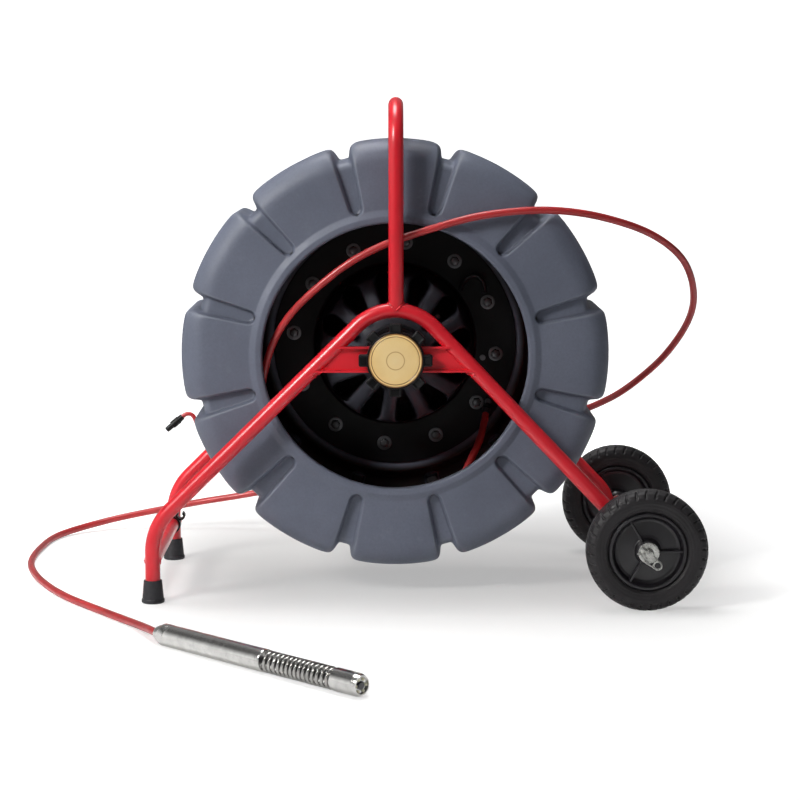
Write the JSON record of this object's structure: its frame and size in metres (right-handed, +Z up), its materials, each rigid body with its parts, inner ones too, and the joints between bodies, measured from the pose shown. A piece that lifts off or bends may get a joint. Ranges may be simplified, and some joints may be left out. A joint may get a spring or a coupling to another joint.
{
  "type": "pipe inspection cable reel",
  "caption": "Wheeled tube stand carrying a lobed drum of push cable that ends in a spring-mounted pipe camera, with a star knob brake.",
  "frame": {"origin": "on the floor at the middle of the whole part's footprint, cable and camera head included; the drum axis is 61.67 mm towards +X and its mid-frame plane 142.15 mm towards +Y", "axes": "+Z up, +Y along the drum and wheel axles towards the back, +X towards the wheels; the knob faces -Y"},
  "size_m": [1.064, 1.1484, 0.7449],
  "materials": {
    "red_paint": "glossy red powder coat",
    "black_rubber": "matte black rubber",
    "black_plastic": "glossy black moulding",
    "zinc_steel": "bright zinc plate",
    "dark_steel": "blackened steel",
    "tyre_rubber": "matte black tyre rubber",
    "wheel_plastic": "satin black moulding",
    "drum_plastic": "slate blue-grey rotomoulded plastic",
    "bush_plastic": "natural bearing plastic",
    "cable_red": "smooth red jacket",
    "brake_fabric": "friction lining",
    "gold_disc": "satin gold disc with plain rings",
    "stainless": "polished stainless steel",
    "spring_steel": "bright spring wire",
    "window_glass": "dark sapphire window",
    "led_lens": "clear yellowish lamp lens"
  },
  "bodies": {
    "frame": {"front_frame_tube": "red_paint", "rear_frame_tube": "red_paint", "handle_tube": "red_paint", "front_cross_channel": "red_paint", "rear_cross_channel": "red_paint", "foot_cross_tube": "red_paint", "axle_cross_tube": "red_paint", "foot_cap_front": "black_rubber", "foot_cap_rear": "black_rubber", "cable_clip": "black_plastic", "wheel_axle": "zinc_steel", "axle_washers": "zinc_steel", "hitch_pin_front": "zinc_steel", "hitch_pin_rear": "zinc_steel", "hub_shaft": "zinc_steel", "shaft_nut": "zinc_steel", "slip_ring_housing": "black_plastic", "slip_ring_cover": "zinc_steel", "strain_relief": "black_rubber", "signal_lead": "cable_red", "signal_plug": "black_plastic", "push_cable": "cable_red", "cable_ferrule": "stainless", "spring_sleeve": "stainless", "camera_spring": "spring_steel", "camera_lead": "black_rubber"},
    "drum": {"drum_shell": "drum_plastic", "hub_plate": "black_plastic", "hub_bolts": "dark_steel", "hub_washers": "dark_steel", "hub_nuts": "zinc_steel", "front_bush": "bush_plastic", "rear_bush": "bush_plastic", "cable_coil": "cable_red", "termination_lead": "cable_red", "lead_sleeve": "black_rubber", "lead_gland": "black_plastic", "lead_loop": "black_rubber", "plate_screws": "zinc_steel", "slip_ring_rotor": "black_plastic"},
    "front_wheel": {"tyre_front": "tyre_rubber", "wheel_disc_front": "wheel_plastic"},
    "rear_wheel": {"tyre_rear": "tyre_rubber", "wheel_disc_rear": "wheel_plastic"},
    "brake": {"brake_sleeve": "zinc_steel", "brake_pad": "brake_fabric"},
    "knob": {"star_knob": "black_plastic", "knob_disc": "gold_disc"},
    "camera_head": {"camera_body": "stainless", "camera_window": "window_glass", "camera_leds": "led_lens"}
  },
  "joints": [
    {"name": "drum_spin", "type": "hinge", "parent": "frame", "child": "drum", "pos_m": [0.06167, 0.14215, 0.3635], "axis": [0, 1, 0], "continuous": true},
    {"name": "front_wheel_spin", "type": "hinge", "parent": "frame", "child": "front_wheel", "pos_m": [0.42827, -0.07335, 0.0891], "axis": [0, 1, 0], "continuous": true},
    {"name": "rear_wheel_spin", "type": "hinge", "parent": "frame", "child": "rear_wheel", "pos_m": [0.42827, 0.35765, 0.0891], "axis": [0, 1, 0], "continuous": true},
    {"name": "brake_press", "type": "slide", "parent": "frame", "child": "brake", "axis": [0, 1, 0], "range_m": [0, 0.001]},
    {"name": "knob_turn", "type": "hinge", "parent": "brake", "child": "knob", "pos_m": [0.06167, -0.04085, 0.3635], "axis": [0, 1, 0], "range_deg": [0, 180]},
    {"name": "head_bend", "type": "hinge", "parent": "frame", "child": "camera_head", "pos_m": [-0.06123, -0.48555, 0.0155], "axis": [0, 0, 1], "range_deg": [-40, 40], "deforming": ["camera_spring", "camera_lead"]}
  ],
  "couplings": [
    {"joint": "brake_press", "follows": "knob_turn", "m_per_rad": 0.00031831}
  ]
}
